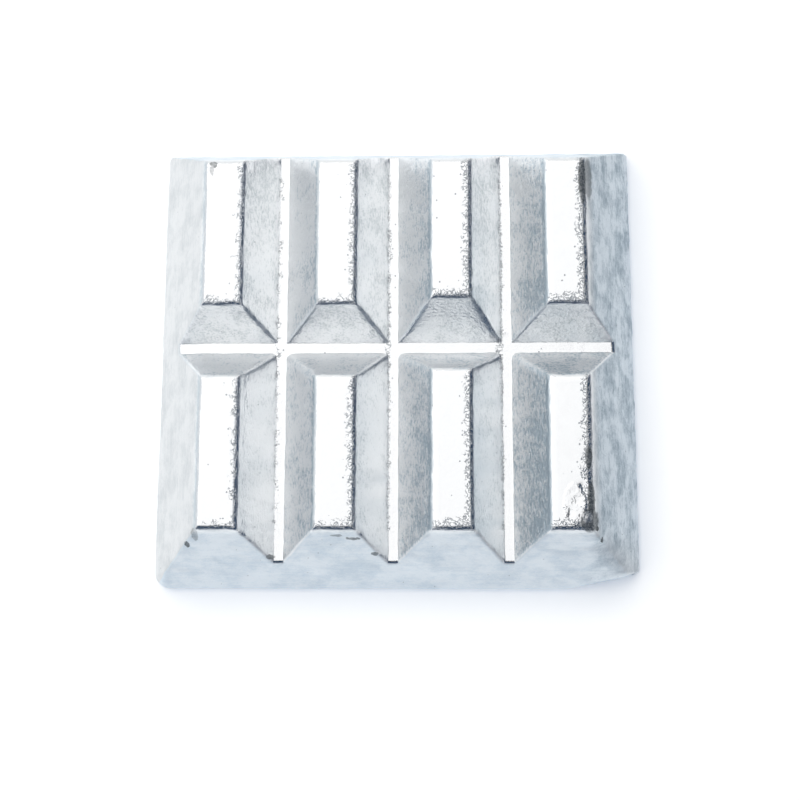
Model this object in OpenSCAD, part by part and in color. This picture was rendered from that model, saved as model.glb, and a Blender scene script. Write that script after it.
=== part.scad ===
// Break-apart waffle ingot, cast as one piece of metal. Sizes are in millimetres.
// Rows of drafted sections stand on a slab and are parted by narrow grooves, along
// which the ingot is broken up for the furnace. It lies on its open-mould face, at z = 0.
// X runs across the long grooves and Y along them, from the near end to the far end.

/* [Overall] */
// Width of the foot, across the long grooves
ingot_w = 300; // [250:1:380]
// Length of the foot, along the long grooves
ingot_l = 280; // [230:1:360]
// Thickness from the foot to the flat tops
ingot_h = 55; // [46:0.5:66]

/* [Sections] */
// Sections in each row, across the ingot
columns = 4; // [2:1:5]
// Rows of sections, along the ingot
rows = 2; // [1:1:3]
// Draft of the slopes that face a long groove, in degrees from upright
side_draft = 35; // [20:0.5:40]
// Draft of the slopes that face a cross groove
end_draft = 33.5; // [20:0.5:40]

/* [Grooves] */
// Metal left under the groove floors
floor_h = 26.5; // [18:0.5:36]
// Floor width of the long grooves
groove_w = 6.2; // [3:0.1:14]
// Floor width of the cross grooves
cross_groove_w = 6.7; // [3:0.1:14]

/* [Outer walls] */
// Draft of the near wall and of the two side walls
wall_draft = 35.5; // [20:0.5:42]
// Draft of the far wall, which is the steepest
far_draft = 24; // [15:0.5:42]

/* [Edges] */
// Radius of the crests round the flat tops, and of the hips where they start
crest_r = 5; // [1.5:0.1:6]
// Radius of the foot's edge, and of the hips where they end
edge_r = 3; // [1.5:0.1:5]
// Radius of the foot's two near corners, seen from above
corner_r = 10; // [5:0.5:20]
// Radius of the foot's two far corners, which are nearly square
far_corner_r = 4; // [3:0.5:20]

/* [Hidden] */
// Sides of a full circle on the rounded edges
edge_sides = 24;
// The sections' outer walls stand this far inside the slab's, so that no two faces coincide
seat = 0.05;
// Depth of the grooves below the flat tops
relief = ingot_h - floor_h;
// Spacing across a groove, from one crest line to the next
groove_span = groove_w + 2 * relief * tan(side_draft);
cross_span = cross_groove_w + 2 * relief * tan(end_draft);
// Crest lines of the outer walls, where the flat tops would meet them if all edges were sharp
crest_x = ingot_w / 2 - foot_reach(wall_draft) - seat;
crest_near = -ingot_l / 2 + foot_reach(wall_draft) + seat;
crest_far = ingot_l / 2 - foot_reach(far_draft) - seat;
// Size of one flat top
flat_w = (2 * crest_x - (columns - 1) * groove_span) / columns;
flat_l = (crest_far - crest_near - (rows - 1) * cross_span) / rows;

// Distance that a wall runs out below its crest line by height z
function run(draft, z) = (ingot_h - z) * tan(draft);
// Distance from a wall back to the centre of a rounded edge of radius r that touches it
function setback(draft, r) = r / cos(draft);
// Distance from a crest line out to the rounded foot
function foot_reach(draft) = run(draft, edge_r) - setback(draft, edge_r) + edge_r;
// Place of a rounded edge's centre beyond its crest line, at height z
function edge_out(draft, z, r) = run(draft, z) - setback(draft, r);

// A rounded corner of radius r: a ball, or a ring where the corner is wider than its edge
module knob(r, ring) {
    rotate_extrude($fn = edge_sides)
        intersection() {
            translate([ring, 0])
                circle(r, $fn = edge_sides);
            translate([0, -r])
                square([ring + r, 2 * r]);
        }
}

// Four knobs at one height, one in each corner of a block.
// sides: crest lines [left, right, near, far], drafts: draft of each of these sides.
// rings: plan radius that is added at the two near corners, and at the two far ones.
module corner_knobs(sides, drafts, z, r, rings = [0, 0]) {
    for (far = [0, 1], right = [0, 1]) {
        out_x = edge_out(drafts[right], z, r) - rings[far];
        out_y = edge_out(drafts[2 + far], z, r) - rings[far];
        x = sides[right] + (2 * right - 1) * out_x;
        y = sides[2 + far] + (2 * far - 1) * out_y;
        translate([x, y, z])
            knob(r, rings[far]);
    }
}

// One break-off section, from its flat top down into the slab.
module section(column, row) {
    left = -crest_x + column * (flat_w + groove_span);
    near = crest_near + row * (flat_l + cross_span);
    sides = [left, left + flat_w, near, near + flat_l];
    drafts = [
        column == 0 ? wall_draft : side_draft,
        column == columns - 1 ? wall_draft : side_draft,
        row == 0 ? wall_draft : end_draft,
        row == rows - 1 ? far_draft : end_draft
    ];
    hull() {
        corner_knobs(sides, drafts, ingot_h - crest_r, crest_r);
        corner_knobs(sides, drafts, floor_h - edge_r, edge_r);
    }
}

// The slab that joins the sections; its top is the floor of all the grooves.
module slab() {
    slab_x = crest_x + seat;
    sides = [-slab_x, slab_x, crest_near - seat, crest_far + seat];
    drafts = [wall_draft, wall_draft, wall_draft, far_draft];
    foot_rings = [max(0, corner_r - edge_r), max(0, far_corner_r - edge_r)];
    hull() {
        corner_knobs(sides, drafts, floor_h - edge_r, edge_r);
        corner_knobs(sides, drafts, edge_r, edge_r, foot_rings);
    }
}

module ingot() {
    color([0.80, 0.83, 0.85]) {
        slab();
        for (column = [0 : columns - 1], row = [0 : rows - 1])
            section(column, row);
    }
}

ingot();
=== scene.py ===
# %% [markdown]
# A break-apart ingot of cast aluminium, as foundries buy it. One pour of metal fills an iron mould, so
# the whole object is one piece: a slab with two rows of four drafted sections, parted by narrow grooves.
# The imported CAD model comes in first. It fixes the size and the place of everything that follows.

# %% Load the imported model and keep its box
import math
import bpy
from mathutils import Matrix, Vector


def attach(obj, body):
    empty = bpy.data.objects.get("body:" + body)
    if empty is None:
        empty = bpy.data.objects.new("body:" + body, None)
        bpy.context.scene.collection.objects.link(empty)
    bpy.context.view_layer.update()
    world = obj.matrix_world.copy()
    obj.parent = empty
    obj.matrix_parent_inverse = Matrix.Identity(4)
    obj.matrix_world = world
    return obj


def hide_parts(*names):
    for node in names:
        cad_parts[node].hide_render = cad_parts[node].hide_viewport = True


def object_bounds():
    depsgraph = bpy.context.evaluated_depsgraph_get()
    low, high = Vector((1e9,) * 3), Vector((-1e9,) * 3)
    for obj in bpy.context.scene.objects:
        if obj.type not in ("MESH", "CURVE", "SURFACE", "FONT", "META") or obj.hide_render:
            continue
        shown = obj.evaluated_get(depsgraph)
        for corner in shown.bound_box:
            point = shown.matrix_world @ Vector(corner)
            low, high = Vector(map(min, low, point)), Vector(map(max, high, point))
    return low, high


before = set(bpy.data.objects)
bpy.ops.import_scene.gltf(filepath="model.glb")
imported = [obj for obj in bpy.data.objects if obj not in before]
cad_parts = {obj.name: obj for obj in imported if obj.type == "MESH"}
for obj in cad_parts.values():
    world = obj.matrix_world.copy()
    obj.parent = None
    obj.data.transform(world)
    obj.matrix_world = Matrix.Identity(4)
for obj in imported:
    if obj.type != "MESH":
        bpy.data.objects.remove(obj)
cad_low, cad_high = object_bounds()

MM = 0.001
print("CAD box in mm:", [round(side / MM, 2) for side in cad_high - cad_low])

# %% [markdown]
# The mould's sizes. Width, length and height come from the CAD box, and the rest are the same driving
# sizes that the CAD source has. The visible skin keeps a little inside the box, because a casting is
# never quite even and its bumps need room.

# %% Sizes of the mould
skin_room = 0.3 * MM
half_width = cad_high.x - skin_room
half_length = cad_high.y - skin_room
top_height = cad_high.z - skin_room
floor_height = 26.5 * MM
long_groove = 6.2 * MM
cross_groove = 6.7 * MM
edge_radius = 3.0 * MM
crest_radius = 5.0 * MM
root_radius = 1.4 * MM
near_corner = 10.0 * MM
far_corner = 3.2 * MM
side_draft = math.radians(35.0)
end_draft = math.radians(33.5)
wall_draft = math.radians(35.5)
far_draft = math.radians(24.0)
columns = 4
rows = 2
relief = top_height - floor_height


def foot_bend(draft):
    """Height at which a wall would meet the upright line through its rounded foot."""
    return edge_radius * (1 + (1 / math.cos(draft) - 1) / math.tan(draft))


def crest_inset(draft):
    """Distance from the foot's outline in to the crest line above it."""
    return (top_height - foot_bend(draft)) * math.tan(draft)


side_run = relief * math.tan(side_draft)
end_run = relief * math.tan(end_draft)
crest_side = half_width - crest_inset(wall_draft)
crest_near = -half_length + crest_inset(wall_draft)
crest_far = half_length - crest_inset(far_draft)
long_span = long_groove + 2 * side_run
cross_span = cross_groove + 2 * end_run
flat_width = (2 * crest_side - (columns - 1) * long_span) / columns
flat_length = (crest_far - crest_near - (rows - 1) * cross_span) / rows
pitch = flat_width + long_span
cross_middle = crest_near + flat_length + cross_span / 2
print("flat tops in mm:", round(flat_width / MM, 2), "x", round(flat_length / MM, 2))

# %% [markdown]
# The ingot's shape follows a rule. Cut it across and every cut shows the same zigzag of four sections;
# cut it lengthwise and every cut shows two. The metal stands as high as the lower of these two profiles,
# which gives the flat tops, the four slopes of each section, the hips between them and the groove floors
# all at once. So only the two profiles are drawn, as curves with sharp corners, and each corner carries
# the radius of its rounding. The mould was cut by hand, so two of the long grooves lie a millimetre or so
# left of their even places.


# %% Draw the two profiles
foot_start = 0.85 * edge_radius
foot_flare = 0.08 * MM
groove_drifts = (-1.5 * MM, -1.1 * MM, 0.0)


def profile_points(flats, groove, drifts, feet, drafts):
    """Corners of a profile as (place, height, radius), from one rounded foot to the other."""
    points = [(feet[0] - foot_flare, foot_start, 0.0)]
    points.append((feet[0], foot_bend(drafts[0]), edge_radius))
    for number, (start, end) in enumerate(flats):
        points.append((start, top_height, crest_radius))
        points.append((end, top_height, crest_radius))
        if number < len(flats) - 1:
            middle = (end + flats[number + 1][0]) / 2 + drifts[number]
            points.append((middle - groove / 2, floor_height, root_radius))
            points.append((middle + groove / 2, floor_height, root_radius))
    points.append((feet[1], foot_bend(drafts[1]), edge_radius))
    points.append((feet[1] + foot_flare, foot_start, 0.0))
    return points


def profile_object(name, points):
    """A curve object with one straight-sided spline, drawn in the XZ plane."""
    curve = bpy.data.curves.new(name, "CURVE")
    curve.dimensions = "3D"
    spline = curve.splines.new("POLY")
    spline.points.add(len(points) - 1)
    for point, (place, height, radius) in zip(spline.points, points):
        point.co = (place, 0.0, height, 1.0)
        point.radius = radius
    drawn = bpy.data.objects.new(name, curve)
    bpy.context.scene.collection.objects.link(drawn)
    return drawn


across_starts = [-crest_side + number * pitch for number in range(columns)]
along_starts = [crest_near + number * (flat_length + cross_span) for number in range(rows)]
across_flats = [(start, start + flat_width) for start in across_starts]
along_flats = [(start, start + flat_length) for start in along_starts]
side_feet = (-half_width, half_width)
end_feet = (-half_length, half_length)
side_drafts = (wall_draft, wall_draft)
end_drafts = (wall_draft, far_draft)
no_drift = (0.0,)
across_points = profile_points(across_flats, long_groove, groove_drifts, side_feet, side_drafts)
along_points = profile_points(along_flats, cross_groove, no_drift, end_feet, end_drafts)
across_profile = profile_object("across_profile", across_points)
along_profile = profile_object("along_profile", along_points)
print("profile corners:", len(across_points), "across and", len(along_points), "along")

# %% [markdown]
# One small function adds a node to any tree. It sets the node's own settings by keyword, and feeds its
# sockets in order with plain values or with the outputs of other nodes. Kinds of node that come up often
# get a short name, and SOFT makes a Map Range ease in and out instead of running straight.


# %% Add a node
def add(tree, kind, *feeds, named=None, **settings):
    """Adds a node and returns its first output. Feeds fill its sockets in order, named ones by name."""
    node = tree.nodes.new(kind)
    for name, value in settings.items():
        setattr(node, name, value)
    sockets = [socket for socket in node.inputs if socket.enabled]
    pairs = list(zip(sockets, feeds))
    for name, value in (named or {}).items():
        pairs.append((next(socket for socket in sockets if socket.name == name), value))
    for socket, value in pairs:
        if isinstance(value, bpy.types.NodeSocket):
            tree.links.new(value, socket)
        elif value is not None:
            socket.default_value = value
    return next((socket for socket in node.outputs if socket.enabled), None)


MATH = "ShaderNodeMath"
VECTOR = "ShaderNodeVectorMath"
RANGE = "ShaderNodeMapRange"
NOISE = "ShaderNodeTexNoise"
MIX = "ShaderNodeMix"
SPLIT = "ShaderNodeSeparateXYZ"
COMBINE = "ShaderNodeCombineXYZ"
SOFT = {"interpolation_type": "SMOOTHSTEP"}
print("nodes are added by the function:", add.__name__)

# %% [markdown]
# The Geometry Nodes tree gets its sizes through named inputs, so that a reader can change them on the
# modifier.

# %% Start the tree with its named inputs
cast_metal = bpy.data.materials.new("as_cast_aluminium")
plate = bpy.data.node_groups.new("cast_waffle_plate", "GeometryNodeTree")
plate_inputs = {
    "Across profile": ("NodeSocketObject", across_profile),
    "Along profile": ("NodeSocketObject", along_profile),
    "Line spacing": ("NodeSocketFloat", 1.6 * MM),
    "Inner hip": ("NodeSocketFloat", 9.0 * MM),
    "Outer hip": ("NodeSocketFloat", 3.0 * MM),
    "Worn corner": ("NodeSocketFloat", 26.0 * MM),
    "Near corner": ("NodeSocketFloat", near_corner),
    "Far corner": ("NodeSocketFloat", far_corner),
    "Edge waviness": ("NodeSocketFloat", 1.5 * MM),
    "Skin swell": ("NodeSocketFloat", 0.5 * MM),
    "Skin wrinkle": ("NodeSocketFloat", 0.22 * MM),
    "Metal": ("NodeSocketMaterial", cast_metal),
}
for input_name, (socket_kind, _) in plate_inputs.items():
    plate.interface.new_socket(input_name, in_out="INPUT", socket_type=socket_kind)
plate.interface.new_socket("Plate", in_out="OUTPUT", socket_type="NodeSocketGeometry")
size_of = plate.nodes.new("NodeGroupInput").outputs
place = add(plate, "GeometryNodeInputPosition")
print("named inputs:", len(plate_inputs))

# %% [markdown]
# Each profile's corners are rounded by Fillet Curve with the radius that the corner carries, and the
# straight runs between them are cut into short steps. Fine steps land on the rounded crests and coarser
# ones on the slopes, where nothing bends.


# %% Round the profiles and cut them into steps
fillet_points = 6
sampling = {"data_type": "FLOAT_VECTOR", "domain": "POINT"}


def stepped_profile(profile):
    """The profile with rounded corners, cut into steps no longer than the line spacing."""
    drawn = add(plate, "GeometryNodeObjectInfo", profile).node.outputs["Geometry"]
    radius = add(plate, "GeometryNodeInputRadius")
    rounded = add(plate, "GeometryNodeFilletCurve", drawn, fillet_points, radius, True, mode="POLY")
    following = add(plate, "GeometryNodeOffsetPointInCurve", None, 1).node.outputs["Point Index"]
    next_place = add(plate, "GeometryNodeFieldAtIndex", place, following, **sampling)
    step = add(plate, VECTOR, place, next_place, operation="DISTANCE")
    cuts = add(plate, MATH, step, size_of["Line spacing"], operation="DIVIDE")
    return add(plate, "GeometryNodeSubdivideCurve", rounded, cuts)


across_lines = stepped_profile(size_of["Across profile"])
along_lines = stepped_profile(size_of["Along profile"])
print("points in a rounded corner:", fillet_points)

# %% [markdown]
# A grid then takes one vertex for each pair of steps. Its vertex number says which step of each profile
# it stands on, and Sample Index reads the two places and heights there.

# %% Lay a grid over the two profiles
across_count = add(plate, "GeometryNodeAttributeDomainSize", across_lines, component="CURVE")
along_count = add(plate, "GeometryNodeAttributeDomainSize", along_lines, component="CURVE")
grid = add(plate, "GeometryNodeMeshGrid", 1.0, 1.0, across_count, along_count)
vertex_number = add(plate, "GeometryNodeInputIndex")
across_number = add(plate, "FunctionNodeIntegerMath", vertex_number, along_count, operation="DIVIDE_FLOOR")
along_number = add(plate, "FunctionNodeIntegerMath", vertex_number, along_count, operation="MODULO")
across_here = add(plate, "GeometryNodeSampleIndex", across_lines, place, across_number, **sampling)
along_here = add(plate, "GeometryNodeSampleIndex", along_lines, place, along_number, **sampling)
across_split = add(plate, SPLIT, across_here).node.outputs
along_split = add(plate, SPLIT, along_here).node.outputs
x = across_split["X"]
y = along_split["X"]
side_height = across_split["Z"]
end_height = along_split["Z"]
print("nodes up to the grid:", len(plate.nodes))

# %% [markdown]
# The lower of the two heights will win. A smooth minimum rounds the hips where the two are close: broad
# between the inner slopes, nearly sharp on the outer walls, and sharp again where a hip of the far row
# runs out in a groove floor. The near row's hips stay broad down to the floor. Each Map Range turns a
# depth or a distance into a share of the hip's width.

# %% Set how wide the hips are
hip_growth = 5 * MM
hip_runout = 9 * MM
wall_start = 6 * MM
far_hip = 0.65
lowest = add(plate, MATH, side_height, end_height, operation="MINIMUM")
depth = add(plate, MATH, top_height, lowest, operation="SUBTRACT")
below_top = add(plate, RANGE, depth, 0.0, hip_growth, 0.0, 1.0, **SOFT)
above_floor = add(plate, RANGE, depth, relief - hip_runout, relief - MM, 1.0, 0.0, **SOFT)
x_size = add(plate, MATH, x, operation="ABSOLUTE")
out_side = add(plate, MATH, x_size, crest_side, operation="SUBTRACT")
out_near = add(plate, MATH, crest_near, y, operation="SUBTRACT")
out_far = add(plate, MATH, y, crest_far, operation="SUBTRACT")
out_end = add(plate, MATH, out_near, out_far, operation="MAXIMUM")
out_most = add(plate, MATH, out_side, out_end, operation="MAXIMUM")
outer_hip = add(plate, RANGE, out_most, 0.0, wall_start, 0.0, 1.0, **SOFT)
near_row = add(plate, MATH, y, cross_middle, operation="LESS_THAN")
hip_share = add(plate, MATH, above_floor, near_row, operation="MAXIMUM")
row_share = add(plate, RANGE, near_row, 0.0, 1.0, far_hip, 1.0)
row_hip = add(plate, MATH, size_of["Inner hip"], row_share, operation="MULTIPLY")
inner_hip = add(plate, MATH, row_hip, hip_share, operation="MULTIPLY")
any_hip = add(plate, RANGE, outer_hip, 0.0, 1.0, inner_hip, size_of["Outer hip"])
hip = add(plate, MATH, any_hip, below_top, operation="MULTIPLY")
print("nodes up to the hips:", len(plate.nodes))

# %% [markdown]
# One outer corner, near and right, was knocked or filled badly, and its hip is washed out to a wide
# round. With the hips' widths settled, the lower of the two heights is taken, and a groove floor keeps
# its own.

# %% Wear one corner and take the lower height
worn_reach = 30 * MM
worn_depth = 16 * MM
floor_end = 0.2
worn_x = add(plate, RANGE, x, crest_side - worn_reach, crest_side, 0.0, 1.0, **SOFT)
worn_y = add(plate, RANGE, y, crest_near + worn_reach, crest_near, 0.0, 1.0, **SOFT)
worn_z = add(plate, RANGE, depth, MM, worn_depth, 0.0, 1.0, **SOFT)
worn_place = add(plate, MATH, worn_x, worn_y, operation="MULTIPLY")
worn_share = add(plate, MATH, worn_place, worn_z, operation="MULTIPLY")
worn_hip = add(plate, MATH, worn_share, size_of["Worn corner"], operation="MULTIPLY")
hip_width = add(plate, MATH, hip, worn_hip, operation="ADD")
hipped = add(plate, MATH, side_height, end_height, hip_width, operation="SMOOTH_MIN")
floor_low = add(plate, MATH, lowest, floor_height, operation="MINIMUM")
floor_kept = add(plate, RANGE, outer_hip, 0.0, floor_end, floor_low, 0.0)
cast_height = add(plate, MATH, hipped, floor_kept, operation="MAXIMUM")
print("nodes up to the cast height:", len(plate.nodes))

# %% [markdown]
# Single marks in the mould and on this casting: dents, a nub, nicks on the crests and a damaged corner.
# Each is a soft oval dent, given by its place and its two radii in millimetres, and its depth. A negative
# depth stands up.

# %% Press the marks into the skin
marks = [
    ("damaged corner", 114.5, -101.0, 9.0, 13.0, 1.5),
    ("nub in it", 110.8, -97.2, 3.2, 3.2, -1.1),
    ("damaged crest", 115.0, -74.0, 4.5, 26.0, 0.7),
    ("crumple low", 101.0, -95.0, 3.0, 5.0, 0.6),
    ("crumple middle", 105.0, -87.5, 3.5, 4.0, 0.7),
    ("crumple high", 108.5, -80.0, 3.0, 5.0, 0.7),
    ("crumple near", 106.5, -98.5, 2.6, 3.2, 0.6),
    ("far left dimple", -108.8, 110.8, 4.5, 8.0, 0.8),
    ("far right stain", 114.5, 102.6, 4.0, 16.0, 0.5),
    ("left hip patch", -115.5, -107.5, 3.0, 4.5, 0.5),
    ("far nick", 23.8, -38.5, 1.7, 2.4, 0.5),
    ("near nick", 23.8, -73.2, 1.7, 2.6, 0.5),
    ("near wall mark", -11.0, -118.5, 6.0, 2.2, 0.4),
    ("groove nub", 66.0, 15.3, 2.0, 2.0, -0.8),
]
dent = None
for mark_name, mark_x, mark_y, radius_x, radius_y, mark_depth in marks:
    apart_x = add(plate, MATH, x, mark_x * MM, operation="SUBTRACT")
    apart_y = add(plate, MATH, y, mark_y * MM, operation="SUBTRACT")
    apart = add(plate, COMBINE, apart_x, apart_y, 0.0)
    oval = add(plate, VECTOR, apart, (radius_x * MM, radius_y * MM, 1.0), operation="DIVIDE")
    reach = add(plate, VECTOR, oval, operation="LENGTH")
    press = add(plate, RANGE, reach, 0.0, 1.0, mark_depth * MM, 0.0, **SOFT)
    press.node.label = mark_name
    dent = press if dent is None else add(plate, MATH, dent, press, operation="ADD")
marked_height = add(plate, MATH, cast_height, dent, operation="SUBTRACT")
print("marks:", len(marks))

# %% [markdown]
# The plan is then bent a little: the third column's crests beside the cross groove sit further from the
# near end than those of its neighbours. The shift fades out over the flat tops, and it leaves the
# groove's floor where it is.

# %% Bend the plan
third_middle = 0.5 * pitch
third_half = 20 * MM
third_end = 31 * MM
floor_half = 4 * MM
slope_half = 20 * MM
shift_start = 26 * MM
shift_end = 52 * MM
shift_most = 3.6 * MM
third_apart = add(plate, MATH, x, third_middle, operation="SUBTRACT")
third_size = add(plate, MATH, third_apart, operation="ABSOLUTE")
third_column = add(plate, RANGE, third_size, third_half, third_end, 1.0, 0.0, **SOFT)
cross_apart = add(plate, MATH, y, cross_middle, operation="SUBTRACT")
cross_size = add(plate, MATH, cross_apart, operation="ABSOLUTE")
off_floor = add(plate, RANGE, cross_size, floor_half, slope_half, 0.0, 1.0, **SOFT)
near_cross = add(plate, RANGE, cross_size, shift_start, shift_end, shift_most, 0.0, **SOFT)
third_share = add(plate, MATH, third_column, off_floor, operation="MULTIPLY")
crest_shift = add(plate, MATH, third_share, near_cross, operation="MULTIPLY")
bent_y = add(plate, MATH, y, crest_shift, operation="ADD")
plan = add(plate, COMBINE, x, bent_y, 0.0)
print("most shift of the crests in mm:", shift_most / MM)

# %% [markdown]
# The corners of the foot are rounded by drawing squares in to circles: the two near ones well rounded,
# the two far ones nearly square. A Bevel would need a corner edge to cut, and the grid's rows have none.


# %% Round the corners and set the grid in place
def past_corner(spot_plan):
    """How far a place lies past the middle of its rounded corner, and the signs of that place."""
    sign = add(plate, VECTOR, spot_plan, operation="SIGN")
    size = add(plate, VECTOR, spot_plan, operation="ABSOLUTE")
    far_side = add(plate, SPLIT, sign).node.outputs["Y"]
    radius = add(plate, RANGE, far_side, -1.0, 1.0, size_of["Near corner"], size_of["Far corner"])
    middle_x = add(plate, MATH, half_width, radius, operation="SUBTRACT")
    middle_y = add(plate, MATH, half_length, radius, operation="SUBTRACT")
    middle = add(plate, COMBINE, middle_x, middle_y, 1.0)
    past = add(plate, VECTOR, size, middle, operation="SUBTRACT")
    return add(plate, VECTOR, past, (0.0, 0.0, 0.0), operation="MAXIMUM"), sign


in_corner, plan_sign = past_corner(plan)
corner_split = add(plate, SPLIT, in_corner).node.outputs
square_reach = add(plate, MATH, corner_split["X"], corner_split["Y"], operation="MAXIMUM")
round_reach = add(plate, VECTOR, in_corner, operation="LENGTH")
round_share = add(plate, MATH, square_reach, round_reach, operation="DIVIDE")
draw_in = add(plate, MATH, round_share, 1.0, operation="SUBTRACT")
draw_size = add(plate, VECTOR, in_corner, named={"Scale": draw_in}, operation="SCALE")
draw_vector = add(plate, VECTOR, draw_size, plan_sign, operation="MULTIPLY")
round_plan = add(plate, VECTOR, plan, draw_vector, operation="ADD")
rise = add(plate, COMBINE, 0.0, 0.0, marked_height)
cast_place = add(plate, VECTOR, round_plan, rise, operation="ADD")
cast_skin = add(plate, "GeometryNodeSetPosition", grid, None, cast_place)
print("nodes up to the rounded plan:", len(plate.nodes))

# %% [markdown]
# The material has to know which kind of face it is on, so numbers are stored on the vertices while the
# profiles are at hand. The first two say whether a spot faces sideways or endways, and how much it
# belongs to an outer wall.

# %% Tell the faces apart
wall_blend = 4 * MM
faces_side = add(plate, MATH, side_height, end_height, operation="LESS_THAN")
out_here = add(plate, MIX, faces_side, out_end, out_side)
outer_wall = add(plate, RANGE, out_here, 0.0, wall_blend, 0.0, 1.0, **SOFT)
print("an outer wall begins within mm of its crest:", wall_blend / MM)

# %% [markdown]
# Gas left pits along the right and near crests of each section, and along the left edge of the long
# grooves. What remains of a place after whole pitches says where it lies in its own section, so that one
# rule serves all eight of them.

# %% Find where the casting is pitted
crest_start = pitch / 2 + 2 * MM
crest_end = pitch / 2 + 11 * MM
near_start = 2 * MM
near_end = 9 * MM
near_pits = 0.9
flat_depth = 0.3 * MM
top_depth = 3 * MM
from_left = add(plate, MATH, x, 0.5 * columns * pitch, operation="ADD")
in_pitch = add(plate, MATH, from_left, pitch, operation="FLOORED_MODULO")
right_crest = add(plate, RANGE, in_pitch, crest_start, crest_end, 0.0, 1.0, **SOFT)
from_near = add(plate, MATH, y, crest_near, operation="SUBTRACT")
in_row = add(plate, MATH, from_near, flat_length + cross_span, operation="FLOORED_MODULO")
near_crest = add(plate, RANGE, in_row, near_start, near_end, near_pits, 0.0, **SOFT)
either_crest = add(plate, MATH, right_crest, near_crest, operation="MAXIMUM")
on_top = add(plate, RANGE, depth, flat_depth, top_depth, 1.0, 0.0, **SOFT)
crest_pits = add(plate, MATH, either_crest, on_top, operation="MULTIPLY")

strip_low = pitch - 8 * MM
strip_full = pitch - 5 * MM
strip_last = pitch - 3 * MM
strip_out = pitch - MM
inner_end = 0.3
low_start = relief - 3 * MM
low_end = relief - MM
low_most = 0.8
strip_start = add(plate, RANGE, in_pitch, strip_low, strip_full, 0.0, 1.0, **SOFT)
strip_end = add(plate, RANGE, in_pitch, strip_last, strip_out, 1.0, 0.0, **SOFT)
strip = add(plate, MATH, strip_start, strip_end, operation="MULTIPLY")
root_pits = add(plate, RANGE, outer_hip, 0.0, inner_end, strip, 0.0)
low_pits = add(plate, RANGE, depth, low_start, low_end, 0.0, low_most, **SOFT)
strip_pits = add(plate, MATH, root_pits, low_pits, operation="MULTIPLY")
pitted = add(plate, MATH, crest_pits, strip_pits, operation="MAXIMUM")
print("nodes up to the pits:", len(plate.nodes))

# %% [markdown]
# The skin is ragged on the crests and at the roots of the slopes. All four numbers become attributes of
# the mesh, which the material reads back.

# %% Find where the skin is ragged, and store it all
slope_start = 2 * MM
slope_full = 4 * MM
root_start = relief - 1.8 * MM
root_end = relief - 0.3 * MM
root_most = 0.8
below_flat = add(plate, RANGE, depth, 0.0, flat_depth, 0.0, 1.0, **SOFT)
above_slope = add(plate, RANGE, depth, slope_start, slope_full, 1.0, 0.0, **SOFT)
on_crest = add(plate, MATH, below_flat, above_slope, operation="MULTIPLY")
at_root = add(plate, RANGE, depth, root_start, root_end, 0.0, root_most, **SOFT)
inner_root = add(plate, RANGE, outer_hip, 0.0, inner_end, at_root, 0.0)
ragged = add(plate, MATH, on_crest, inner_root, operation="MAXIMUM")
stored = {"outer_wall": outer_wall, "faces_side": faces_side, "pitted": pitted, "ragged": ragged}
STORE = "GeometryNodeStoreNamedAttribute"
storing = {"data_type": "FLOAT", "domain": "POINT"}
for stored_name, stored_value in stored.items():
    cast_skin = add(plate, STORE, cast_skin, None, stored_name, stored_value, **storing)
print("stored from the profiles:", *stored)

# %% [markdown]
# The foot. The grid ends where the foot is widest, so its open edge is extruded three times round the
# lower half of the foot's rounding, down to the table.

# %% Roll the foot's edge under
edge_faces = add(plate, "GeometryNodeInputMeshEdgeNeighbors")
open_edge = add(plate, "FunctionNodeCompare", edge_faces, 1, data_type="INT", operation="EQUAL")
foot_split = add(plate, SPLIT, place).node.outputs
foot_plan = add(plate, COMBINE, foot_split["X"], foot_split["Y"], 0.0)
foot_over, foot_sign = past_corner(foot_plan)
foot_way = add(plate, VECTOR, foot_over, operation="NORMALIZE")
foot_out = add(plate, VECTOR, foot_way, foot_sign, operation="MULTIPLY")
roll = open_edge
reached_in = 0.0
roll_angles = (30, 60, 90)
for roll_angle in roll_angles:
    turned = math.radians(roll_angle)
    inset = edge_radius * (1 - math.cos(turned))
    rolled = add(plate, "GeometryNodeExtrudeMesh", cast_skin, roll, None, 0.0, mode="EDGES")
    roll = rolled.node.outputs["Top"]
    pull = add(plate, VECTOR, foot_out, named={"Scale": reached_in - inset}, operation="SCALE")
    pulled = add(plate, VECTOR, foot_plan, pull, operation="ADD")
    lift = (0.0, 0.0, edge_radius * (1 - math.sin(turned)))
    rolled_place = add(plate, VECTOR, pulled, lift, operation="ADD")
    cast_skin = add(plate, "GeometryNodeSetPosition", rolled, roll, rolled_place)
    reached_in = inset
print("turns of the foot in degrees:", *roll_angles)

# %% [markdown]
# No casting is straight. A slow noise and a quick one move the skin sideways, so that crests and outlines
# waver.

# %% Let the edges waver
waver_long = 16 * MM
waver_short = 4 * MM
quick_part = 0.4
noise_middle = 0.5
middle_grey = (noise_middle, noise_middle, noise_middle)
level_only = (1.0, 1.0, 0.0)
waver_slow = add(plate, NOISE, place, 1 / waver_long, 1.0).node.outputs["Color"]
waver_fast = add(plate, NOISE, place, 1 / waver_short, 1.0).node.outputs["Color"]
waver_both = add(plate, MIX, quick_part, named={"A": waver_slow, "B": waver_fast}, data_type="VECTOR")
waver_mid = add(plate, VECTOR, waver_both, middle_grey, operation="SUBTRACT")
waver_flat = add(plate, VECTOR, waver_mid, level_only, operation="MULTIPLY")
waver = add(plate, VECTOR, waver_flat, named={"Scale": size_of["Edge waviness"]}, operation="SCALE")
wavy_skin = add(plate, "GeometryNodeSetPosition", cast_skin, None, None, waver)
print("waves of the edges in mm:", waver_long / MM, "and", waver_short / MM)

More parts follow.
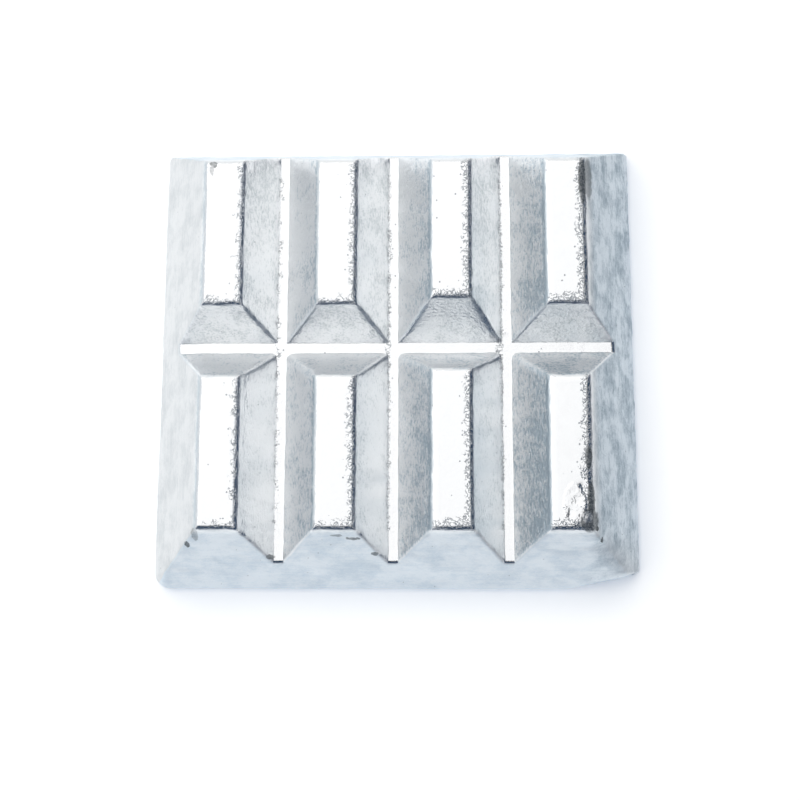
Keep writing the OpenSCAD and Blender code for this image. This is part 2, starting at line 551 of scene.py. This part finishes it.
# %% [markdown]
# Two more noises push the skin in and out along its normals: a long swell and a short wrinkle. The foot
# lies flat, so the push fades out close to the table.

# %% Swell and wrinkle the skin
swell_gap = 55 * MM
skin_gap = 6.5 * MM
table_fade = 4 * MM
swell_noise = add(plate, NOISE, place, 1 / swell_gap, 1.0)
swell_mid = add(plate, MATH, swell_noise, noise_middle, operation="SUBTRACT")
swell = add(plate, MATH, swell_mid, size_of["Skin swell"], operation="MULTIPLY")
wrinkle_noise = add(plate, NOISE, place, 1 / skin_gap, 2.0)
wrinkle_mid = add(plate, MATH, wrinkle_noise, noise_middle, operation="SUBTRACT")
wrinkle = add(plate, MATH, wrinkle_mid, size_of["Skin wrinkle"], operation="MULTIPLY")
push = add(plate, MATH, swell, wrinkle, operation="ADD")
off_table = add(plate, RANGE, foot_split["Z"], 0.0, table_fade, 0.0, 1.0, **SOFT)
push_share = add(plate, MATH, push, off_table, operation="MULTIPLY")
skin_normal = add(plate, "GeometryNodeInputNormal")
push_vector = add(plate, VECTOR, skin_normal, named={"Scale": push_share}, operation="SCALE")
uneven_skin = add(plate, "GeometryNodeSetPosition", wavy_skin, None, None, push_vector)
print("swell and wrinkle in mm:", swell_gap / MM, "and", skin_gap / MM)

# %% [markdown]
# The near edge is short towards its right end, where the metal ran thin: it is drawn back to a slanting
# line, with a little slack that keeps its points apart. At last everything is held inside the CAD box.

# %% Shorten one edge and hold the skin in its box
short_slope = 0.26
short_slack = 0.25
short_from = 100.9 * MM
short_edge = -140.6 * MM
short_round = 1.5 * MM
short_start = add(plate, MATH, foot_split["X"], short_from, operation="SUBTRACT")
short_line = add(plate, MATH, short_start, short_slope, short_edge, operation="MULTIPLY_ADD")
short_most = add(plate, MATH, foot_split["Y"], short_line, short_round, operation="SMOOTH_MAX")
short_y = add(plate, MIX, short_slack, short_most, foot_split["Y"])
short_place = add(plate, COMBINE, foot_split["X"], short_y, foot_split["Z"])
held_low = add(plate, VECTOR, short_place, tuple(cad_low), operation="MAXIMUM")
held = add(plate, VECTOR, held_low, tuple(cad_high), operation="MINIMUM")
held_skin = add(plate, "GeometryNodeSetPosition", uneven_skin, None, held)
print("nodes up to the finished skin:", len(plate.nodes))

# %% [markdown]
# Three more numbers come from the finished skin's normals: how level a spot is, how far it faces left or
# far, where the film is painted darker as shade, and whether it is on a rounded crest that faces right or
# near. Those crests are painted dark blue, a painted reflection of the room's dark side.

# %% Store which way the skin faces
left_far_axis = (-1.0, 0.95, 0.0)
slope_level = 0.60
flat_level = 0.92
coat_start = 0.1
coat_full = 0.6
tilt_start = 0.14
tilt_full = 0.36
crest_steep = 0.64
crest_level = 0.80
dark_low = top_height - 8 * MM
dark_high = top_height - 4 * MM
flat_normal = add(plate, SPLIT, skin_normal).node.outputs["Z"]
flat_face = add(plate, RANGE, flat_normal, slope_level, flat_level, 0.0, 1.0, **SOFT)
# How far a spot faces left or far: there the film is painted darker as shade, and the skin is rougher.
left_far_way = add(plate, VECTOR, skin_normal, left_far_axis, operation="DOT_PRODUCT")
left_far_face = add(plate, RANGE, left_far_way, coat_start, coat_full, 0.0, 1.0, **SOFT)
# Painted reflection: rounded crests that face right or near are marked to be coloured dark blue.
dark_way = add(plate, MATH, left_far_way, -1.0, operation="MULTIPLY")
dark_tilt = add(plate, RANGE, dark_way, tilt_start, tilt_full, 0.0, 1.0, **SOFT)
dark_round = add(plate, RANGE, flat_normal, crest_steep, crest_level, 0.0, dark_tilt, **SOFT)
painted_dark_crest = add(plate, RANGE, foot_split["Z"], dark_low, dark_high, 0.0, dark_round, **SOFT)
faced = {"flat_face": flat_face, "left_far_face": left_far_face, "painted_dark_crest": painted_dark_crest}
faced_skin = held_skin
for stored_name, stored_value in faced.items():
    faced_skin = add(plate, STORE, faced_skin, None, stored_name, stored_value, **storing)
print("stored from the normals:", *faced)

# %% [markdown]
# The underside is the face that was open to the air when the mould was filled. It lies hidden on the
# table, so it is a plain flat face: the foot's last edge becomes a curve, the curve is filled, and the
# two are merged into one closed skin. The tree then turns into real mesh and takes its metal.

# %% Close the underside and finish the tree
foot_line = add(plate, "GeometryNodeMeshToCurve", faced_skin, roll)
underside = add(plate, "GeometryNodeFillCurve", foot_line, mode="TRIANGLES")
turned_down = add(plate, "GeometryNodeFlipFaces", underside)
joined = add(plate, "GeometryNodeJoinGeometry", faced_skin)
plate.links.new(turned_down, joined.node.inputs[0])
merge_reach = 0.004 * MM
closed = add(plate, "GeometryNodeMergeByDistance", joined, None, merge_reach)
smooth = add(plate, "GeometryNodeSetShadeSmooth", closed, None, True)
real = add(plate, "GeometryNodeRealizeInstances", smooth)
clad = add(plate, "GeometryNodeSetMaterial", real, None, size_of["Metal"])
add(plate, "NodeGroupOutput", clad)
print("nodes in the tree:", len(plate.nodes))

# %% [markdown]
# The tree runs as a modifier on an empty mesh. Its result is copied to a plain mesh, which alone is kept,
# because the exporter wants real vertices.

# %% Run the tree and keep its mesh
shaper = bpy.data.objects.new("shaper", bpy.data.meshes.new("shaper"))
bpy.context.scene.collection.objects.link(shaper)
modifier = shaper.modifiers.new("cast_waffle_plate", "NODES")
modifier.node_group = plate
for item in plate.interface.items_tree:
    if item.in_out == "INPUT":
        modifier[item.identifier] = plate_inputs[item.name][1]
depsgraph = bpy.context.evaluated_depsgraph_get()
ingot_mesh = bpy.data.meshes.new_from_object(shaper.evaluated_get(depsgraph), depsgraph=depsgraph)
ingot_mesh.name = "waffle_ingot"
ingot_mesh.materials.clear()
ingot_mesh.materials.append(cast_metal)
ingot = bpy.data.objects.new("waffle_ingot", ingot_mesh)
bpy.context.scene.collection.objects.link(ingot)
for helper in (shaper, across_profile, along_profile):
    bpy.data.objects.remove(helper)
ingot_mesh.calc_loop_triangles()
print("ingot triangles:", len(ingot_mesh.loop_triangles), "materials:", len(ingot_mesh.materials))

# %% [markdown]
# The metal is aluminium as it comes from an iron mould: bright, a little blue, with a dull oxide film. It
# is smoothest where it is flat, so that the tops flash white. The slopes froze against the mould's
# coating and are leathery, and the outer walls are the dullest. Colours are written as sRGB hex values.


# %% Colours from hex values
def linear(code):
    """The linear colour of an sRGB hex value such as E8ECEF."""
    shares = [int(code[start:start + 2], 16) / 255 for start in (0, 2, 4)]
    return tuple(s / 12.92 if s <= 0.04045 else ((s + 0.055) / 1.055) ** 2.4 for s in shares) + (1.0,)


clean_colour = linear("F8F9FA")
print("clean metal, linear:", [round(share, 3) for share in clean_colour[:3]])

# %% [markdown]
# The metal reads its place on the ingot in metres, so that each pattern below can be given in real
# millimetres. It also reads the seven numbers that the mesh carries.

# %% Where the metal is, and what kind of face it is on
cast_metal.use_nodes = True
metal = cast_metal.node_tree
metal.nodes.clear()
spot = add(metal, "ShaderNodeTexCoord").node.outputs["Object"]
stored_names = (*stored, *faced)
read_back = {}
for stored_name in stored_names:
    read_node = add(metal, "ShaderNodeAttribute", attribute_name=stored_name).node
    read_back[stored_name] = read_node.outputs["Fac"]
wall = read_back["outer_wall"]
sideways = read_back["faces_side"]
level = read_back["flat_face"]
left_far = read_back["left_far_face"]
painted_crest_here = read_back["painted_dark_crest"]
pits_here = read_back["pitted"]
ragged_here = read_back["ragged"]
print("numbers read from the mesh:", len(read_back))

# %% [markdown]
# Wrinkles run level along each slope, because the metal froze in steps as it rose in the mould. Two
# stretched noises give them, one for the slopes that face sideways and one for those that face an end.
# They are under 2 mm apart and twice as long, and almost round on the end slopes. A finer grain lies over
# them, drawn about 1 mm coarse so that it shows, and it is strongest where the skin is ragged. A
# stretched place needs a Noise of scale 1. The values after the scale are detail, roughness, lacunarity
# and distortion.

# %% Wrinkles and grain
wrinkle_gap = 1.4 * MM
wrinkle_long = 3.4 * MM
wrinkle_short = 1.7 * MM
grain_gap = 1.1 * MM
slope_leather = 0.7
flat_leather = 0.1
wall_leather = 0.35
end_leather = 1.8
side_leather = 1.2
coat_leather = 2.1
slope_grain = 0.45
flat_grain = 0.08
ragged_grain = 0.6
scale_side = (1 / wrinkle_gap, 1 / wrinkle_long, 1 / wrinkle_gap)
scale_end = (1 / wrinkle_short, 1 / wrinkle_gap, 1 / wrinkle_gap)
spot_side = add(metal, VECTOR, spot, scale_side, operation="MULTIPLY")
spot_end = add(metal, VECTOR, spot, scale_end, operation="MULTIPLY")
wrinkle_side = add(metal, NOISE, spot_side, 1.0, 1.0, 0.5, 2.0, 0.5)
wrinkle_end = add(metal, NOISE, spot_end, 1.0, 1.0, 0.5, 2.0, 0.5)
leather = add(metal, MIX, sideways, wrinkle_end, wrinkle_side)
grain = add(metal, NOISE, spot, 1 / grain_gap, 2.0, 0.6)
slope_share = add(metal, RANGE, level, 0.0, 1.0, slope_leather, flat_leather)
wall_share = add(metal, RANGE, wall, 0.0, 1.0, 1.0, wall_leather)
end_share = add(metal, RANGE, sideways, 0.0, 1.0, end_leather, side_leather)
coat_lay = add(metal, RANGE, left_far, 0.0, 1.0, end_share, coat_leather)
lay_share = add(metal, MATH, slope_share, coat_lay, operation="MULTIPLY")
leather_share = add(metal, MATH, lay_share, wall_share, operation="MULTIPLY")
leather_height = add(metal, MATH, leather, leather_share, operation="MULTIPLY")
bare_grain = add(metal, RANGE, level, 0.0, 1.0, slope_grain, flat_grain)
grain_share = add(metal, RANGE, ragged_here, 0.0, 1.0, bare_grain, ragged_grain)
grain_height = add(metal, MATH, grain, grain_share, operation="MULTIPLY")
rough_height = add(metal, MATH, leather_height, grain_height, operation="ADD")
print("wrinkles in mm:", wrinkle_gap / MM, "x", wrinkle_long / MM)

# %% [markdown]
# Gas pits. Where the mesh says that the casting is pitted, the skin is full of short, worm-like pits.
# They are the thin contour lines of a noise, broken up by a second noise, and single round ones are sown
# all over.

# %% Pits
worm_gap = 2.2 * MM
cell_gap = 1.6 * MM
patch_gap = 5 * MM
pit_depth = 0.9
worm_core = 0.01
worm_edge = 0.065
worm_most = 0.9
left_pits = 0.4
right_pits = 0.72
patch_start = 0.76
patch_full = 1.02
hole_core = 0.10
hole_edge = 0.34
few_holes = 0.992
many_holes = 0.86
worm_noise = add(metal, NOISE, spot, 1 / worm_gap, 1.0, 0.5, 2.0, 0.6)
worm_off = add(metal, MATH, worm_noise, noise_middle, operation="SUBTRACT")
worm_size = add(metal, MATH, worm_off, operation="ABSOLUTE")
worm = add(metal, RANGE, worm_size, worm_core, worm_edge, 1.0, 0.0, **SOFT)
patch = add(metal, NOISE, spot, 1 / patch_gap, 2.0)
spot_split = add(metal, SPLIT, spot).node.outputs
spot_x = spot_split["X"]
pit_weight = add(metal, RANGE, spot_x, -crest_side, crest_side, left_pits, right_pits)
patch_share = add(metal, MATH, pits_here, pit_weight, patch, operation="MULTIPLY_ADD")
worm_patch = add(metal, RANGE, patch_share, patch_start, patch_full, 0.0, worm_most, **SOFT)
worm_pit = add(metal, MATH, worm, worm_patch, operation="MULTIPLY")
pit_cells = add(metal, "ShaderNodeTexVoronoi", spot, 1 / cell_gap)
pit_draw = add(metal, SPLIT, pit_cells.node.outputs["Color"])
pit_shape = add(metal, RANGE, pit_cells, hole_core, hole_edge, 1.0, 0.0, **SOFT)
pit_rest = add(metal, RANGE, pits_here, 0.0, 1.0, few_holes, many_holes)
pit_picked = add(metal, MATH, pit_draw, pit_rest, operation="GREATER_THAN")
round_pit = add(metal, MATH, pit_shape, pit_picked, operation="MULTIPLY")
pit = add(metal, MATH, worm_pit, round_pit, operation="MAXIMUM")
skin_height = add(metal, MATH, pit, -pit_depth, rough_height, operation="MULTIPLY_ADD")
print("pits in mm apart:", worm_gap / MM, "and", cell_gap / MM)

# %% [markdown]
# Mould sand and burnt oxide stick in a few places, mostly at the damaged corner. Each stain is an oval,
# given by its place and radii in millimetres and its strength. A noise frays the edges.

# %% Stains
stains = [
    ("far right crest", 112.4, 102.5, 2.6, 15.0, 0.85),
    ("far right wall", 116.4, 105.0, 3.2, 13.5, 0.5),
    ("far left dimple", -109.2, 114.8, 2.7, 2.1, 0.7),
    ("far left dimple, tail", -110.0, 110.8, 1.4, 3.8, 0.4),
    ("near right corner", 112.3, -98.8, 6.2, 7.2, 0.75),
    ("above that corner", 113.2, -88.0, 2.6, 12.0, 0.85),
    ("right crest", 112.2, -63.0, 2.2, 7.5, 0.8),
    ("left hip patch", -115.4, -107.0, 2.2, 4.2, 0.35),
    ("left hip pit", -121.3, -112.7, 1.5, 1.9, 0.8),
    ("right hip pit", 116.9, -103.4, 1.2, 1.6, 0.9),
    ("right hip low pit", 120.6, -110.0, 1.1, 1.7, 0.9),
    ("near wall arc, left end", -33.0, -107.7, 4.0, 0.5, 0.45),
    ("near wall arc, right end", -23.5, -109.4, 4.5, 0.9, 0.65),
    ("near wall wedge", -11.4, -118.2, 2.4, 1.2, 0.7),
    ("first groove notch", -73.9, -120.3, 2.6, 1.5, 0.7),
]
fray_gap = 2.4 * MM
fray_reach = 2.2 * MM
oval_core = 0.8
oval_edge = 1.05
fray_noise = add(metal, NOISE, spot, 1 / fray_gap, 2.0).node.outputs["Color"]
fray_mid = add(metal, VECTOR, fray_noise, middle_grey, operation="SUBTRACT")
frayed = add(metal, VECTOR, fray_mid, (fray_reach, fray_reach, 0.0), spot, operation="MULTIPLY_ADD")


def frayed_oval(middle_x, middle_y, radius_x, radius_y, strength):
    """A value that is as strong as given inside a frayed oval, and nothing outside it."""
    shrink = (1 / (radius_x * MM), 1 / (radius_y * MM), 0.0)
    middle = (-middle_x / radius_x, -middle_y / radius_y, 0.0)
    oval = add(metal, VECTOR, frayed, shrink, middle, operation="MULTIPLY_ADD")
    reach = add(metal, VECTOR, oval, operation="LENGTH").node.outputs["Value"]
    return add(metal, RANGE, reach, oval_core, oval_edge, strength, 0.0, **SOFT)


stain = None
for stain_name, *stain_shape in stains:
    mark = frayed_oval(*stain_shape)
    mark.node.label = stain_name
    stain = mark if stain is None else add(metal, MATH, stain, mark, operation="MAXIMUM")
nub_shape = (110.6, -97.3, 3.4, 3.4, 0.55)
clean_nub = frayed_oval(*nub_shape)
stain_left = add(metal, MATH, stain, clean_nub, operation="SUBTRACT", use_clamp=True)
print("stains:", len(stains))

# %% [markdown]
# The last section, near and right, cooled under a skin that crumpled. A coarse noise in a frayed oval is
# added to the wrinkles, grain and pits, and all of it together becomes one bump.

# %% Crumpled skin and the bump
crumple_gap = 4 * MM
crumple_shape = (103.5, -90.0, 7.0, 13.0, 2.0)
crumple_noise = add(metal, NOISE, frayed, 1 / crumple_gap, 2.0)
crumple_here = frayed_oval(*crumple_shape)
crumple = add(metal, MATH, crumple_noise, crumple_here, skin_height, operation="MULTIPLY_ADD")
bump_depth = 0.3 * MM
bump = add(metal, "ShaderNodeBump", named={"Strength": 1.0, "Distance": bump_depth, "Height": crumple})
print("bump in mm:", bump_depth / MM)

# %% [markdown]
# The oxide film is thicker in clouds, along the wrinkles and in the grain, and on the outer walls in
# clouds and soft streaks that follow the wall.

# %% Clouds and streaks of oxide
cloud_gap = 15 * MM
streak_gap = 3.5 * MM
streak_long = 18 * MM
cloud_low = 0.34
cloud_high = 0.68
film_low = 0.33
film_high = 0.67
grain_part = 0.45
clouds = add(metal, NOISE, spot, 1 / cloud_gap, 4.0, 0.6)
cloud_share = add(metal, RANGE, clouds, cloud_low, cloud_high, 0.0, 1.0, **SOFT)
streak_side = (1 / streak_gap, 1 / streak_long, 1 / streak_gap)
streak_end = (1 / streak_long, 1 / streak_gap, 1 / streak_gap)
spot_streak_side = add(metal, VECTOR, spot, streak_side, operation="MULTIPLY")
spot_streak_end = add(metal, VECTOR, spot, streak_end, operation="MULTIPLY")
streaks_side = add(metal, NOISE, spot_streak_side, 1.0, 2.0, 0.5, 2.0, 0.8)
streaks_end = add(metal, NOISE, spot_streak_end, 1.0, 2.0, 0.5, 2.0, 0.8)
streaks = add(metal, MIX, sideways, streaks_end, streaks_side)
streak_film = add(metal, RANGE, streaks, film_low, film_high, 0.0, 1.0)
leather_film = add(metal, RANGE, leather, film_low, film_high, 1.0, 0.0)
grain_film = add(metal, RANGE, grain, film_low, film_high, 1.0, 0.0)
fine_film = add(metal, MIX, grain_part, leather_film, grain_film)
print("clouds and streaks in mm:", cloud_gap / MM, "and", streak_long / MM)

# %% [markdown]
# Slopes that face left or far carry a darker, bluer film, painted as shade, and it is painted thicker
# towards the near right corner, also as painted shade. On slopes that face left it thickens up the slope
# and, just under the crest, paints a dark line that is a painted reflection. The other slopes carry less
# film in the near row, and the flat tops carry no film.

# %% Film on the slopes and walls
slope_fine = 0.68
wall_fine = 0.45
wall_streaks = 0.26
film_most = 0.9
crest_line_low = top_height - 4 * MM
crest_line_top = top_height - 1.5 * MM
left_shade = -0.14
right_shade = 0.1
near_shade = 0.08
far_shade = -0.14
end_facing_shade = -0.06
floor_darkening = -0.12
top_darkening = 0.16
crest_reflection_strength = 0.4
near_bright = -0.24
slope_film_low = 0.36
slope_film_high = 0.8
wall_thin = 0.3
wall_thick = 0.9
film_mixed = add(metal, MIX, slope_fine, cloud_share, fine_film)
# Painted shade: on slopes facing left or far the film grows towards the near right corner.
shade_across = add(metal, RANGE, spot_x, -0.5 * pitch, 1.5 * pitch, left_shade, right_shade)
shade_along = add(metal, RANGE, spot_split["Y"], crest_near, crest_far, near_shade, far_shade)
shade_end_facing = add(metal, RANGE, sideways, 0.0, 1.0, end_facing_shade, 0.0)
shade_turn = add(metal, MATH, shade_across, shade_end_facing, operation="ADD")
painted_shade_place = add(metal, MATH, shade_turn, shade_along, operation="ADD")
darker_up_slope = add(metal, RANGE, spot_split["Z"], floor_height, top_height, floor_darkening, top_darkening)
# Painted reflection: a dark line of film just under the crests of the slopes that face left.
crest_reflection_line = add(metal, RANGE, spot_split["Z"], crest_line_low, crest_line_top, 0.0, crest_reflection_strength)
darker_up_and_crest = add(metal, MATH, darker_up_slope, crest_reflection_line, operation="ADD")
left_far_darkening = add(metal, MATH, darker_up_and_crest, sideways, painted_shade_place, operation="MULTIPLY_ADD")
bright_row = add(metal, RANGE, spot_split["Y"], crest_near, crest_far, near_bright, 0.0)
film_lift = add(metal, MIX, left_far, bright_row, left_far_darkening)
film_and_shade = add(metal, MATH, film_mixed, film_lift, operation="ADD")
slope_film = add(metal, RANGE, film_and_shade, slope_film_low, slope_film_high, 0.0, 1.0)
wall_clouds = add(metal, MIX, wall_fine, cloud_share, fine_film)
wall_film = add(metal, MIX, wall_streaks, wall_clouds, streak_film)
calm_film = add(metal, RANGE, wall_film, wall_thin, wall_thick, 0.0, film_most)
film_kind = add(metal, MIX, wall, slope_film, calm_film)
film_share = add(metal, RANGE, level, 0.0, 1.0, film_most, 0.0)
film = add(metal, MATH, film_kind, film_share, operation="MULTIPLY")
print("nodes up to the film:", len(metal.nodes))

# %% [markdown]
# The colours are laid on in this order: bare metal, film, the crests' painted dark reflection, pits and
# stains. A thicker film is a darker, greyer metal. Each outer wall has its own colours, as painted light
# and shade: the near wall bluer than the left, and the right wall much darker, as painted shade.

# %% Lay the colours on
bright_film_colour = linear("D0D5D7")
left_far_clean_colour = linear("F7F9FA")
left_far_shaded_film_colour = linear("B8C7D0")
crest_reflection_colour = linear("52687F")
pit_colour = linear("6F7880")
stain_colour = linear("5A6062")
crest_least = 0.05
crest_most = 0.6
pit_most = 0.55
stain_least = 0.55
stain_most = 1.1
wall_turn = 8 * MM
corner_part = 0.2
right_shade_end = add(metal, RANGE, spot_split["Y"], -half_length, crest_near, corner_part, 1.0)
right_wall_shade = add(metal, RANGE, spot_x, crest_side, crest_side + wall_turn, 0.0, right_shade_end, **SOFT)


def wall_shade_colour(left, near, right):
    """One colour for each outer wall, from hex values, as painted light and shade. Near and right blend at
    their corner.
    """
    near_or_left = add(metal, MIX, sideways, linear(near), linear(left), data_type="RGBA")
    return add(metal, MIX, right_wall_shade, near_or_left, linear(right), data_type="RGBA")


# Painted shade: the right wall is painted much darker and bluer than the left and near walls.
outer_clean_shaded = wall_shade_colour("F5F6F6", "F4FAFE", "EEF6FB")
outer_film_shaded = wall_shade_colour("E2E5E6", "DEEAF3", "99ADB9")
# Painted shade: slopes facing left or far take a darker, bluer film colour.
slope_film_colour = add(metal, MIX, left_far, bright_film_colour, left_far_shaded_film_colour, data_type="RGBA")
film_colour = add(metal, MIX, wall, slope_film_colour, outer_film_shaded, data_type="RGBA")
slope_clean = add(metal, MIX, left_far, clean_colour, left_far_clean_colour, data_type="RGBA")
bare_colour = add(metal, MIX, wall, slope_clean, outer_clean_shaded, data_type="RGBA")
filmed = add(metal, MIX, film, bare_colour, film_colour, data_type="RGBA")
# Painted reflection: the marked crests are mixed towards dark blue.
crest_grain = add(metal, RANGE, grain, 0.35, 0.65, crest_least, crest_most)
crest_share = add(metal, MATH, painted_crest_here, crest_grain, operation="MULTIPLY")
crested = add(metal, MIX, crest_share, filmed, crest_reflection_colour, data_type="RGBA")
pit_dark = add(metal, MATH, pit, pit_most, operation="MULTIPLY")
pitted_colour = add(metal, MIX, pit_dark, crested, pit_colour, data_type="RGBA")
stain_grain = add(metal, RANGE, grain, 0.3, 0.7, stain_least, stain_most)
stain_share = add(metal, MATH, stain_left, stain_grain, operation="MULTIPLY")
metal_colour = add(metal, MIX, stain_share, pitted_colour, stain_colour, data_type="RGBA")
print("nodes up to the colour:", len(metal.nodes))

# %% [markdown]
# Roughness goes the same way. The flat tops are the smoothest, the outer walls are the dullest, and
# coating, clouds of film and stains each add a little.

# %% Roughness
slope_roughness = 0.3
flat_roughness = 0.2
wall_roughness = 0.26
coat_roughness = 0.1
cloud_roughness = 0.05
stain_roughness = 0.25
slope_rough = add(metal, RANGE, level, 0.0, 1.0, slope_roughness, flat_roughness)
wall_rough = add(metal, RANGE, wall, 0.0, 1.0, 0.0, wall_roughness)
dull_wall = add(metal, MATH, slope_rough, wall_rough, operation="ADD")
dull = add(metal, MATH, left_far, coat_roughness, dull_wall, operation="MULTIPLY_ADD")
clouded = add(metal, MATH, cloud_share, cloud_roughness, dull, operation="MULTIPLY_ADD")
roughness = add(metal, MATH, stain, stain_roughness, clouded, operation="MULTIPLY_ADD")
print("nodes up to the roughness:", len(metal.nodes))

# %% [markdown]
# One Principled BSDF joins it all. The surface is all metal, which keeps the default index of refraction,
# so the colour is that of its reflections.

# %% The shader
skin_shader = add(
    metal, "ShaderNodeBsdfPrincipled",
    named={"Base Color": metal_colour, "Metallic": 1.0, "Roughness": roughness, "Normal": bump},
)
add(metal, "ShaderNodeOutputMaterial", skin_shader)
print("nodes in the metal:", len(metal.nodes))

# %% [markdown]
# The ingot stands for its CAD node and rides on the part's only body.

# %% Join the ingot to the frame
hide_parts("ingot")
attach(ingot, "root")
print("riding on the root:", ingot.name)

# %% [markdown]
# The stage is a white table. Its diffuse part takes the ingot's soft shadow, and a light of its own, seen
# by the camera and in reflections, brings it up to white without lighting the metal. An Ambient Occlusion
# node dims and blues that light close to the foot. Its normal leans to the lamp, so that the right and
# near sides are shaded most. Well to the right the table runs out of the light, and the ingot's right
# wall shows that.

# %% The table
table_mesh = bpy.data.meshes.new("table")
table_half = 3.0
table_signs = [(-1, -1), (1, -1), (1, 1), (-1, 1)]
table_corners = [(sx * table_half, sy * table_half, 0.0) for sx, sy in table_signs]
table_mesh.from_pydata(table_corners, [], [(0, 1, 2, 3)])
table = bpy.data.objects.new("table", table_mesh)
bpy.context.scene.collection.objects.link(table)
table_white = bpy.data.materials.new("white_laminate")
table_white.use_nodes = True
laminate = table_white.node_tree
laminate.nodes.clear()
table_diffuse = add(laminate, "ShaderNodeBsdfDiffuse", linear("F2F2F2"))
ray = add(laminate, "ShaderNodeLightPath").node.outputs
seen_direct = add(laminate, MATH, ray["Is Camera Ray"], ray["Is Glossy Ray"], operation="ADD")
seen = add(laminate, MATH, seen_direct, ray["Is Transmission Ray"], operation="ADD")
table_glow = 0.53
shade_reach = 30 * MM
lit_end = 270 * MM
dark_start = 420 * MM
lamp_way = (-0.55, 0.55, 0.63)
lean = add(laminate, COMBINE, *lamp_way)
open_share = add(
    laminate, "ShaderNodeAmbientOcclusion", named={"Distance": shade_reach, "Normal": lean},
    samples=8,
).node.outputs["AO"]
shade_colour = linear("5078A0")
glow_colour = add(laminate, MIX, open_share, shade_colour, linear("FFFFFF"), data_type="RGBA")
table_spot = add(laminate, "ShaderNodeTexCoord").node.outputs["Object"]
table_x = add(laminate, SPLIT, table_spot)
lit_glow = add(laminate, RANGE, table_x, lit_end, dark_start, table_glow, 0.0, **SOFT)
glow = add(laminate, MATH, seen, lit_glow, operation="MULTIPLY")
table_light = add(laminate, "ShaderNodeEmission", glow_colour, glow)
table_both = add(laminate, "ShaderNodeAddShader", table_diffuse, table_light)
add(laminate, "ShaderNodeOutputMaterial", table_both)
table_mesh.materials.append(table_white)
print("table side in m:", 2 * table_half)

# %% [markdown]
# The room round the table is bright on the far left and dark blue on the right and near sides, and that
# is what the rounded crests show as dark lines. Close to the table stands a white booth, and low on the
# left hangs a blue haze. Rays pass through a lamp, so the room is dimmed behind the softbox, where it
# would add to its light.

# %% The room
world = bpy.data.worlds.new("studio")
bpy.context.scene.world = world
world.use_nodes = True
room = world.node_tree
room.nodes.clear()
way = add(room, "ShaderNodeTexCoord").node.outputs["Generated"]
bright_way = (-0.66, 0.75, 0.0)
dark_end = -0.35
bright_start = 0.6
booth_low = 0.05
booth_high = 0.35
shaded_right = 0.7
haze_bottom = 0.12
haze_full = 0.3
haze_fade = 0.45
haze_end = 0.65
haze_most = 0.45
haze_right = -0.2
haze_deep = -0.6
softbox_low = 0.72
softbox_high = 0.88
dimmed = 0.1
facing = add(room, VECTOR, way, bright_way, operation="DOT_PRODUCT")
room_share = add(room, RANGE, facing, dark_end, bright_start, 0.0, 1.0, **SOFT)
dark_side = linear("374A61")
bright_side = linear("F4F4F3")
wall_light = add(room, MIX, room_share, dark_side, bright_side, data_type="RGBA")
way_split = add(room, SPLIT, way).node.outputs
low_share = add(room, RANGE, way_split["Z"], booth_low, booth_high, 1.0, 0.0, **SOFT)
unshaded = add(room, RANGE, way_split["X"], 0.0, shaded_right, 1.0, 0.0, **SOFT)
low_light = add(room, MATH, low_share, unshaded, operation="MULTIPLY")
booth_white = linear("F0F6FC")
booth_light = add(room, MIX, low_light, wall_light, booth_white, data_type="RGBA")
haze_top = add(room, RANGE, way_split["Z"], haze_fade, haze_end, haze_most, 0.0, **SOFT)
haze_low = add(room, RANGE, way_split["Z"], haze_bottom, haze_full, 0.0, haze_top, **SOFT)
haze_left = add(room, RANGE, way_split["X"], haze_right, haze_deep, 0.0, 1.0, **SOFT)
haze = add(room, MATH, haze_low, haze_left, operation="MULTIPLY")
haze_blue = linear("7390A8")
room_light = add(room, MIX, haze, booth_light, haze_blue, data_type="RGBA")
behind_softbox = add(room, RANGE, way_split["Z"], softbox_low, softbox_high, 1.0, dimmed, **SOFT)
studio = add(room, "ShaderNodeBackground", room_light, behind_softbox)
add(room, "ShaderNodeOutputWorld", studio)
print("nodes in the room:", len(room.nodes))

# %% [markdown]
# The light is one large softbox overhead, a little to the left and to the far side. It is what the flat
# tops and the groove floors show, and its power is set so that they show it as white.

# %% The softbox
softbox_data = bpy.data.lights.new("softbox", "AREA")
softbox_data.shape = "RECTANGLE"
softbox_data.size = 1.16
softbox_data.size_y = 1.1
softbox_white = 1.02
softbox_data.energy = softbox_white * math.pi * softbox_data.size * softbox_data.size_y
softbox = bpy.data.objects.new("softbox", softbox_data)
softbox.location = (-0.15, 0.15, 0.75)
bpy.context.scene.collection.objects.link(softbox)
bpy.context.scene.view_settings.view_transform = "Standard"
print("softbox in m:", round(softbox_data.size, 2), "x", round(softbox_data.size_y, 2))

# %% [markdown]
# The camera looks almost straight down from above the near edge. Its place and tilt were found by
# matching the crests, grooves and outline of the CAD model to the picture.

# %% The camera
camera_data = bpy.data.cameras.new("camera")
camera_data.lens = 45.0
camera_data.sensor_width = 36.0
camera = bpy.data.objects.new("camera", camera_data)
camera.location = (19.8 * MM, -112.4 * MM, 629.5 * MM)
camera.rotation_euler = (math.radians(8.19), math.radians(1.58), math.radians(0.10))
bpy.context.scene.collection.objects.link(camera)
bpy.context.scene.camera = camera
print("camera lens in mm:", camera_data.lens)
